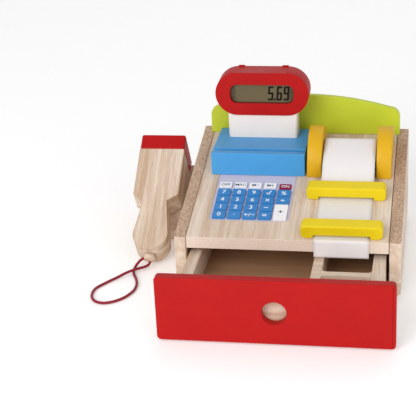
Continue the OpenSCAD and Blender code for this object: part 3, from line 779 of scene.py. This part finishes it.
@dataclass
class Display:
    """The card block, the pillar and the display with its figures."""

    digit_height: float = 16.0 * MM
    digit_width: float = 6.2 * MM
    digit_pitch: float = 7.6 * MM
    dot_room: float = 1.9 * MM
    stroke: float = 2.1 * MM
    slant: float = math.radians(5)
    right_edge: float = 29.6 * MM
    rise: float = -0.1 * MM
    window: tuple[float, float, float] = (69.6 * MM, 21.0 * MM, 7.5 * MM)
    # width of the dark ring round the window, which is painted shade of the window's recess
    recess_shade_width: float = 2.0 * MM
    corner_steps: int = 8
    tip: float = 0.42
    shoulder: float = 0.16
    figure_lift: float = 0.06 * MM
    price: str = "965"
    segments: dict[str, str] = field(default_factory=lambda: {
        "5": "afgcd", "6": "afgecd", "9": "abfgcd"})

    def build(self) -> None:
        """Dresses the block, pillar and housing, and draws the figures on the display."""
        dress("card_block", Paint("blue_paint", srgb(72, 156, 216), 0.4), 0.8)
        dress("display_pillar", Paint("white_paint", srgb(236, 226, 219), 0.4,
                                      grain=Grain.ALONG_Z, strength=0.05), 0.8)
        red = Paint("red_paint", srgb(178, 14, 14), 0.45, 0.18)
        dress("display_housing", red, 0.9)
        dress("display_back_cover", red, 0.4)
        dress("cover_screws", Moulded("steel", srgb(190, 192, 196), 0.3, metal=1.0))
        dress("lcd_window", Clear("clear_window", srgb(150, 150, 136), 0.08, 0.1, alpha=0.022))
        dress("lcd_module", Moulded("lcd", srgb(103, 90, 62), 0.5, strength=0.08))
        dress("button_cells", Moulded("cell_steel", srgb(200, 200, 204), 0.25, metal=1.0))
        dress("ribbon_cable", Moulded("ribbon", srgb(150, 155, 162), 0.5))
        self.draw_figures()

    def stroke_outline(self, key: str) -> list[tuple[float, float]]:
        """Outlines one stroke of a figure.

        Args:
            key: The stroke's letter, from a to g, clockwise from the top and then the middle.

        Returns:
            The outline, about the figure's middle.
        """
        w, h, t = self.digit_width, self.digit_height, self.stroke
        across, up = w / 2 - t / 2, h / 2 - t / 2
        ends = {
            "a": ((-across, up), (across, up)), "g": ((-across, 0), (across, 0)),
            "d": ((-across, -up), (across, -up)), "b": ((across, 0), (across, up)),
            "c": ((across, -up), (across, 0)), "f": ((-across, 0), (-across, up)),
            "e": ((-across, -up), (-across, 0))}
        start, end = (Vector(point) for point in ends[key])
        way = (end - start).normalized()
        side = Vector((-way.y, way.x)) * t / 2
        over, cut = way * self.tip * t, way * self.shoulder * t
        points = [start - over, start - cut + side, end + cut + side, end + over,
                  end + cut - side, start - cut - side]
        return [(point.x, point.y) for point in points]

    def window_outline(self, grown: float) -> list[tuple[float, float]]:
        """Outlines the window.

        Args:
            grown: How far outside the window the outline runs, in metres.

        Returns:
            The outline, about the window's middle.
        """
        width, height, radius = self.window
        points = []
        for quarter in range(4):
            x = (width / 2 - radius) * (1 if quarter in (0, 3) else -1)
            y = (height / 2 - radius) * (1 if quarter < 2 else -1)
            for step in range(self.corner_steps + 1):
                turn = math.radians(90 * quarter + 90 / self.corner_steps * step)
                points.append((x + (radius + grown) * math.cos(turn),
                               y + (radius + grown) * math.sin(turn)))
        return points

    def draw_figures(self) -> None:
        """Draws a price as dark seven-stroke figures on the display's face, and a dark ring round
        the window, like a module's bezel, that paints the shade inside the window's recess.
        """
        low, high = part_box("display_housing")
        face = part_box("lcd_module")[0].y - self.figure_lift
        middle = Vector(((low.x + high.x) / 2, face, (low.z + high.z) / 2 + self.rise))
        vertices: list[Vector] = []
        faces: list[tuple[int, ...]] = []

        def add(outline: list[tuple[float, float]], x: float) -> None:
            """Adds one flat outline, leaning as the figures lean.

            Args:
                outline: The outline, about the figure's middle.
                x: How far the figure's middle is from the window's.
            """
            first = len(vertices)
            for u, v in outline:
                vertices.append(middle + Vector((x + u + v * math.tan(self.slant), 0, v)))
            faces.append(tuple(range(first, first + len(outline))))

        last = self.right_edge - self.digit_width / 2
        for place, digit in enumerate(self.price):
            x = last - place * self.digit_pitch - (self.dot_room if digit == "5" else 0)
            for key in self.segments[digit]:
                add(self.stroke_outline(key), x)
        dot = self.stroke / 2
        corners = [(-dot, -dot), (dot, -dot), (dot, dot), (-dot, dot)]
        lowered = [(u, v - self.digit_height / 2 + dot) for u, v in corners]
        add(lowered, last - 1.5 * self.digit_pitch - self.dot_room / 2)
        # painted shade: a dark ring on the display's face, showing past the window's edges, stands
        # in for the shade inside the window's recess
        first = len(vertices)
        inner, outer = self.window_outline(0), self.window_outline(self.recess_shade_width)
        centre = middle - Vector((0, 0, self.rise))
        vertices += [centre + Vector((u, 0, v)) for u, v in inner + outer]
        count = len(inner)
        faces += [(first + k, first + (k + 1) % count, first + count + (k + 1) % count,
                   first + count + k) for k in range(count)]
        figures = new_piece("display_figures_and_recess_shade", vertices, faces,
                            Moulded("lcd_black_and_recess_shade", (0.002, 0.002, 0.003), 0.6, 0.1), smooth=False)
        join_up(figures, "case")


@dataclass
class PaperRoll:
    """The roll of till paper between its uprights, and the strip that runs off it."""

    case: Case
    lift: float = 0.55 * MM
    roll_gap: float = 0.2 * MM
    bow: float = 38 * MM
    thickness: float = 0.12 * MM
    across: int = 12
    curl: float = 0.10 * MM
    # where the strip runs: see path; the runs are a first value, a last value and a step
    wrap: tuple[int, int, int] = (45, 105, 5)
    landing: tuple[tuple[float, float], ...] = ((91, 3.0), (90.4, 2.3), (88.2, 0), (85.5, 0))
    flat_run: tuple[int, int, int] = (80, 4, -6)
    nose: float = 2.4
    nose_bend: tuple[float, float, float] = (0, -0.9, 0.6)
    hang_gap: float = 0.85
    hang_top: float = 1.8
    hang_run: tuple[int, int, int] = (2, 18, 2)
    hang_lean: float = 0.001

    def build(self) -> None:
        """Dresses the uprights, guides and roll, and lays the paper strip."""
        dress("roll_uprights", Paint("orange_paint", srgb(222, 172, 24), 0.4, 0.25), 1.1)
        yellow = Paint("yellow_paint", srgb(234, 208, 22), 0.4, 0.25)
        dress("paper_guides", yellow, edge=1.9, segments=5)
        dress("roll_axle", bare("axle_wood", Grain.ALONG_X))
        dress("paper_core", Moulded("card_tube", srgb(172, 140, 100), 0.8, grit=900.0))
        low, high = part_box("paper_roll")
        self.axle = Vector((0, (low.y + high.y) / 2, (low.z + high.z) / 2))
        self.radius = (high.z - low.z) / 2
        white = srgb(233, 229, 229)
        wound = RollPaper("roll_paper", white, 0.62, axis_y=self.axle.y, axis_z=self.axle.z)
        dress("paper_roll", wound, edge=0.2, segments=2)
        self.lay_strip(RollPaper("strip_paper", white, 0.62))

    def path(self) -> list[Vector]:
        """Finds the strip's route from the roll to its free end.

        It wraps the roll (degrees about the axle), falls to the board, bends onto it, runs
        down it (millimetres up the slope and off it), turns over the front edge and hangs.

        Returns:
            The route's points in the plane of the roll's side.
        """
        def on_slope(v: float, h: float) -> Vector:
            """Returns the point that lies v up the slope and h off it, in millimetres."""
            return self.case.on_slope @ Vector((0, v * MM, h * MM + self.lift))

        def round_axle(angle: float) -> Vector:
            """Returns the direction at an angle, in degrees, about the axle."""
            return Vector((0, math.cos(math.radians(angle)), math.sin(math.radians(angle))))

        first, last, step = self.wrap
        wound = [self.axle + (self.radius + self.roll_gap) * round_axle(angle)
                 for angle in range(first, last + 1, step)]
        onward = wound[-1] + self.bow * round_axle(last + 90)
        met, *bent = (on_slope(*point) for point in self.landing)
        falling = [bezier(wound[-1], onward, met, k / 16) for k in range(1, 17)]
        bend = [bezier(*bent, k / 6) for k in range(7)]
        flat = [on_slope(v, 0) for v in range(*self.flat_run)]
        lip = self.case.front + Vector((0, 0, self.case.front_height))
        top = lip + Vector((0, -self.hang_gap, -self.hang_top)) * MM
        drop = [bezier(on_slope(self.nose, 0), lip + Vector(self.nose_bend) * MM, top, k / 8)
                for k in range(9)]
        hang = [lip + Vector((0, -self.hang_gap - self.hang_lean * k * k,
                              -self.hang_top - k)) * MM for k in range(*self.hang_run)]
        return wound + falling + bend + flat + drop + hang

    def lay_strip(self, finish: Finish) -> None:
        """Makes the thin paper strip, its edges curling up a very little.

        Args:
            finish: What it is finished in.
        """
        low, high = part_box("paper_strip")
        middle, half = (low.x + high.x) / 2, (high.x - low.x) / 2
        path = self.path()
        vertices, faces = [], []
        columns = self.across + 1
        for step, point in enumerate(path):
            way = path[min(step + 1, len(path) - 1)] - path[max(step - 1, 0)]
            out = Vector((0, -way.z, way.y)).normalized()
            if out.z < 0 or (abs(out.z) < 0.2 and out.y > 0):
                out = -out
            for column in range(columns):
                u = 2 * column / self.across - 1
                rise = self.curl * u * u
                vertices.append(Vector((middle + u * half, point.y, point.z)) + out * rise)
        for step in range(len(path) - 1):
            for column in range(self.across):
                first = step * columns + column
                faces.append((first, first + 1, first + 1 + columns, first + columns))
        strip = new_piece("till_paper", vertices, faces, finish)
        sheet = strip.modifiers.new("thickness", "SOLIDIFY")
        sheet.thickness = self.thickness
        sheet.offset = 0
        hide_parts("paper_strip")
        join_up(strip, "case")


def bezier(start: Vector, middle: Vector, end: Vector, t: float) -> Vector:
    """Returns the point at t, from 0 to 1, of the curve from start to end by way of middle."""
    return (1 - t) ** 2 * start + 2 * t * (1 - t) * middle + t * t * end


@dataclass
class Drawer:
    """The drawer with its painted front and its coin tray."""

    def build(self) -> None:
        """Dresses the drawer's boards."""
        red = Paint("drawer_red", srgb(178, 14, 14), 0.45, 0.18)
        dress("drawer_front", red, edge=1.3, segments=4)
        dress("drawer_box_front", bare("box_front_wood", Grain.ALONG_X, rings=0.9), 0.5)
        dress("drawer_sides", bare("box_side_wood", Grain.ALONG_Y), 0.5)
        dress("drawer_back", bare("box_back_wood", Grain.ALONG_X), 0.5)
        dress("drawer_floor", Wood("floor_wood", srgb(196, 155, 118), 0.6,
                                   dark=srgb(168, 126, 92), rings=0.4))
        dress("coin_tray", bare("tray_wood", Grain.ALONG_X), 0.5)


@dataclass
class Scanner:
    """The wooden hand scanner on its rest, and the cord on its peg."""

    case: Case
    cord_radius: float = 1.5 * MM
    sides: int = 24
    ring_gap: float = 0.45 * MM
    strands: int = 8
    braid_pitch: float = 9.0 * MM
    relief: float = 0.09
    # metres from the middle of the case's front edge
    route: tuple[tuple[float, float, float], ...] = (
        (-0.154, 0.0495, 0.0115), (-0.1584, 0.0498, 0.0112), (-0.163, 0.0502, 0.0092),
        (-0.1668, 0.049, 0.0056), (-0.1692, 0.0452, 0.0026), (-0.1696, 0.0386, 0.0016),
        (-0.1674, 0.0296, 0.0016), (-0.163, 0.0195, 0.0016), (-0.1596, 0.008, 0.0016),
        (-0.1592, -0.0045, 0.0016), (-0.162, -0.015, 0.0016), (-0.1675, -0.025, 0.0016),
        (-0.1758, -0.0328, 0.0016), (-0.1855, -0.0364, 0.0016), (-0.1948, -0.0327, 0.0016),
        (-0.2007, -0.0218, 0.0016), (-0.2008, -0.0065, 0.0016), (-0.193, 0.0075, 0.0016),
        (-0.1828, 0.0195, 0.0026), (-0.1755, 0.0268, 0.0042), (-0.1685, 0.033, 0.0049),
        (-0.1632, 0.038, 0.0046), (-0.1584, 0.043, 0.0041), (-0.1548, 0.0472, 0.0049),
        (-0.1537, 0.05, 0.0076), (-0.1536, 0.0508, 0.0115))

    def build(self) -> None:
        """Dresses the scanner, its peg and its rest, and makes the cord."""
        dress("scanner_body", bare("scanner_wood", Grain.ALONG_SCANNER, rings=0.75),
              edge=2.8, segments=5, angle=25)
        dress("scanner_cap", Paint("cap_red", srgb(180, 14, 15), 0.45, 0.18), edge=2.4, segments=5)
        dress("cord_peg", bare("peg_wood", Grain.ALONG_Y))
        dress("scanner_rest", bare("rest_wood", Grain.ALONG_Y, rings=0.8), 0.8)
        self.make_cord()

    def spine(self) -> list[Vector]:
        """Draws the smooth curve through the points of the cord's route.

        Returns:
            Close points along the curve.
        """
        points = [self.case.front + Vector(point) for point in self.route]
        last = len(points) - 1
        close: list[Vector] = []
        for k in range(last):
            a, b = points[max(k - 1, 0)], points[k]
            c, d = points[k + 1], points[min(k + 2, last)]
            steps = max(2, round((c - b).length / self.ring_gap))
            for t in (step / steps for step in range(steps)):
                close.append(0.5 * (2 * b + (c - a) * t + (2 * a - 5 * b + 4 * c - d) * t * t
                                    + (3 * b - a - 3 * c + d) * t ** 3))
        return close + [points[-1]]

    def make_cord(self) -> None:
        """Makes the wrist cord as one tube with raised braided strands."""
        spine = self.spine()
        vertices, faces = [], []
        length = 0.0
        side = Vector((1, 0, 0))
        for k, point in enumerate(spine):
            way = (spine[min(k + 1, len(spine) - 1)] - spine[max(k - 1, 0)]).normalized()
            side = (side - way * side.dot(way)).normalized()
            up = way.cross(side)
            length += (point - spine[k - 1]).length if k else 0.0
            twist = math.tau * length / self.braid_pitch
            for s in range(self.sides):
                turn = math.tau * s / self.sides
                over = math.cos(self.strands / 2 * turn + self.strands / 2 * twist)
                under = math.cos(self.strands / 2 * turn - self.strands / 2 * twist)
                crown = max(abs(over), abs(under))
                radius = self.cord_radius * (1 - self.relief * (1 - crown))
                vertices.append(point + radius * (side * math.cos(turn) + up * math.sin(turn)))
        for k in range(len(spine) - 1):
            for s in range(self.sides):
                t = (s + 1) % self.sides
                faces.append((k * self.sides + s, k * self.sides + t,
                              (k + 1) * self.sides + t, (k + 1) * self.sides + s))
        faces.append(tuple(reversed(range(self.sides))))
        faces.append(tuple(range(len(vertices) - self.sides, len(vertices))))
        # the cord's paler crown colour is painted sheen
        cord = new_piece("scanner_cord", vertices, faces,
                         Braid("cord", srgb(118, 4, 28), 0.5, crown=srgb(164, 16, 48)))
        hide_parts("wrist_cord")
        join_up(cord, "scanner")


@dataclass
class Studio:
    """The floor, the lights and the camera."""

    case: Case
    focal: float = 114.957
    camera_from_case: tuple[float, float, float] = (0.15181, -1.19636, 0.63961)
    yaw: float = math.radians(-10.87)
    pitch: float = math.radians(24.09)
    roll: float = math.radians(-2.92)
    floor_size: float = 8.0
    floor_drop: float = 0.0002
    daylight: float = 0.55
    aim_from_case: tuple[float, float, float] = (0, 0.1, 0.06)

    def build(self) -> None:
        """Sets up the view, the floor, three large lights and even daylight.

        The key light is to the front left, the back light behind and the fill to the right.
        """
        self.place_camera()
        half = self.floor_size / 2
        corners = [Vector((x, y, -self.floor_drop)) for x, y in
                   ((-half, -half), (half, -half), (half, half), (-half, half))]
        floor = new_piece("floor", corners, [(0, 1, 2, 3)],
                          Backdrop("floor_white", (0.93, 0.93, 0.93), 0.9, strength=0.01))
        self.light("key", (-1.0, -2.2, 1.4), 1.6, 40.0)
        self.light("back", (0.1, 2.4, 1.6), 2.6, 9.0)
        self.light("fill", (1.4, -1.8, 0.9), 1.8, 12.0)
        world = bpy.data.worlds.new("studio")
        world.use_nodes = True
        background = world.node_tree.nodes["Background"]
        background.inputs["Color"].default_value = (1, 1, 1, 1)
        background.inputs["Strength"].default_value = self.daylight
        bpy.context.scene.world = world
        bpy.context.scene.view_settings.view_transform = "Standard"
        bpy.context.scene.view_settings.look = "None"

    def place_camera(self) -> None:
        """Places the camera in front of the case, a little to its right and above it."""
        forward = Vector((math.sin(self.yaw) * math.cos(self.pitch),
                          math.cos(self.yaw) * math.cos(self.pitch), -math.sin(self.pitch)))
        right = Vector((math.cos(self.yaw), -math.sin(self.yaw), 0))
        up = right.cross(forward)
        side = right * math.cos(self.roll) + up * math.sin(self.roll)
        top = up * math.cos(self.roll) - right * math.sin(self.roll)
        turn = Matrix((side, top, -forward)).transposed().to_4x4()
        data = bpy.data.cameras.new("camera")
        data.sensor_width = 36.0
        data.lens = self.focal
        data.clip_start = 0.05
        camera = bpy.data.objects.new("camera", data)
        camera.matrix_world = (Matrix.Translation(self.case.front
                               + Vector(self.camera_from_case)) @ turn)
        bpy.context.scene.collection.objects.link(camera)
        bpy.context.scene.camera = camera

    def light(self, name: str, place: tuple[float, float, float], size: float,
              power: float) -> None:
        """Adds a soft square light that faces the object.

        Args:
            name: The light's name.
            place: Where it hangs, in metres.
            size: Its width, in metres.
            power: Its power, in watts.
        """
        data = bpy.data.lights.new(name, "AREA")
        data.size = size
        data.energy = power
        lamp = bpy.data.objects.new(name, data)
        lamp.location = place
        aim = self.case.front + Vector(self.aim_from_case) - Vector(place)
        lamp.rotation_euler = aim.to_track_quat("-Z", "Y").to_euler()
        bpy.context.scene.collection.objects.link(lamp)


def main() -> None:
    """Builds every piece, in order."""
    logging.basicConfig(level=logging.INFO, format="%(name)s: %(message)s")
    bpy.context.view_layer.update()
    case = Case()
    Studio(case).build()
    Scanner(case).build()
    case.build()
    Keypad(case).build()
    Display().build()
    PaperRoll(case).build()
    Drawer().build()


if __name__ == "__main__":
    main()
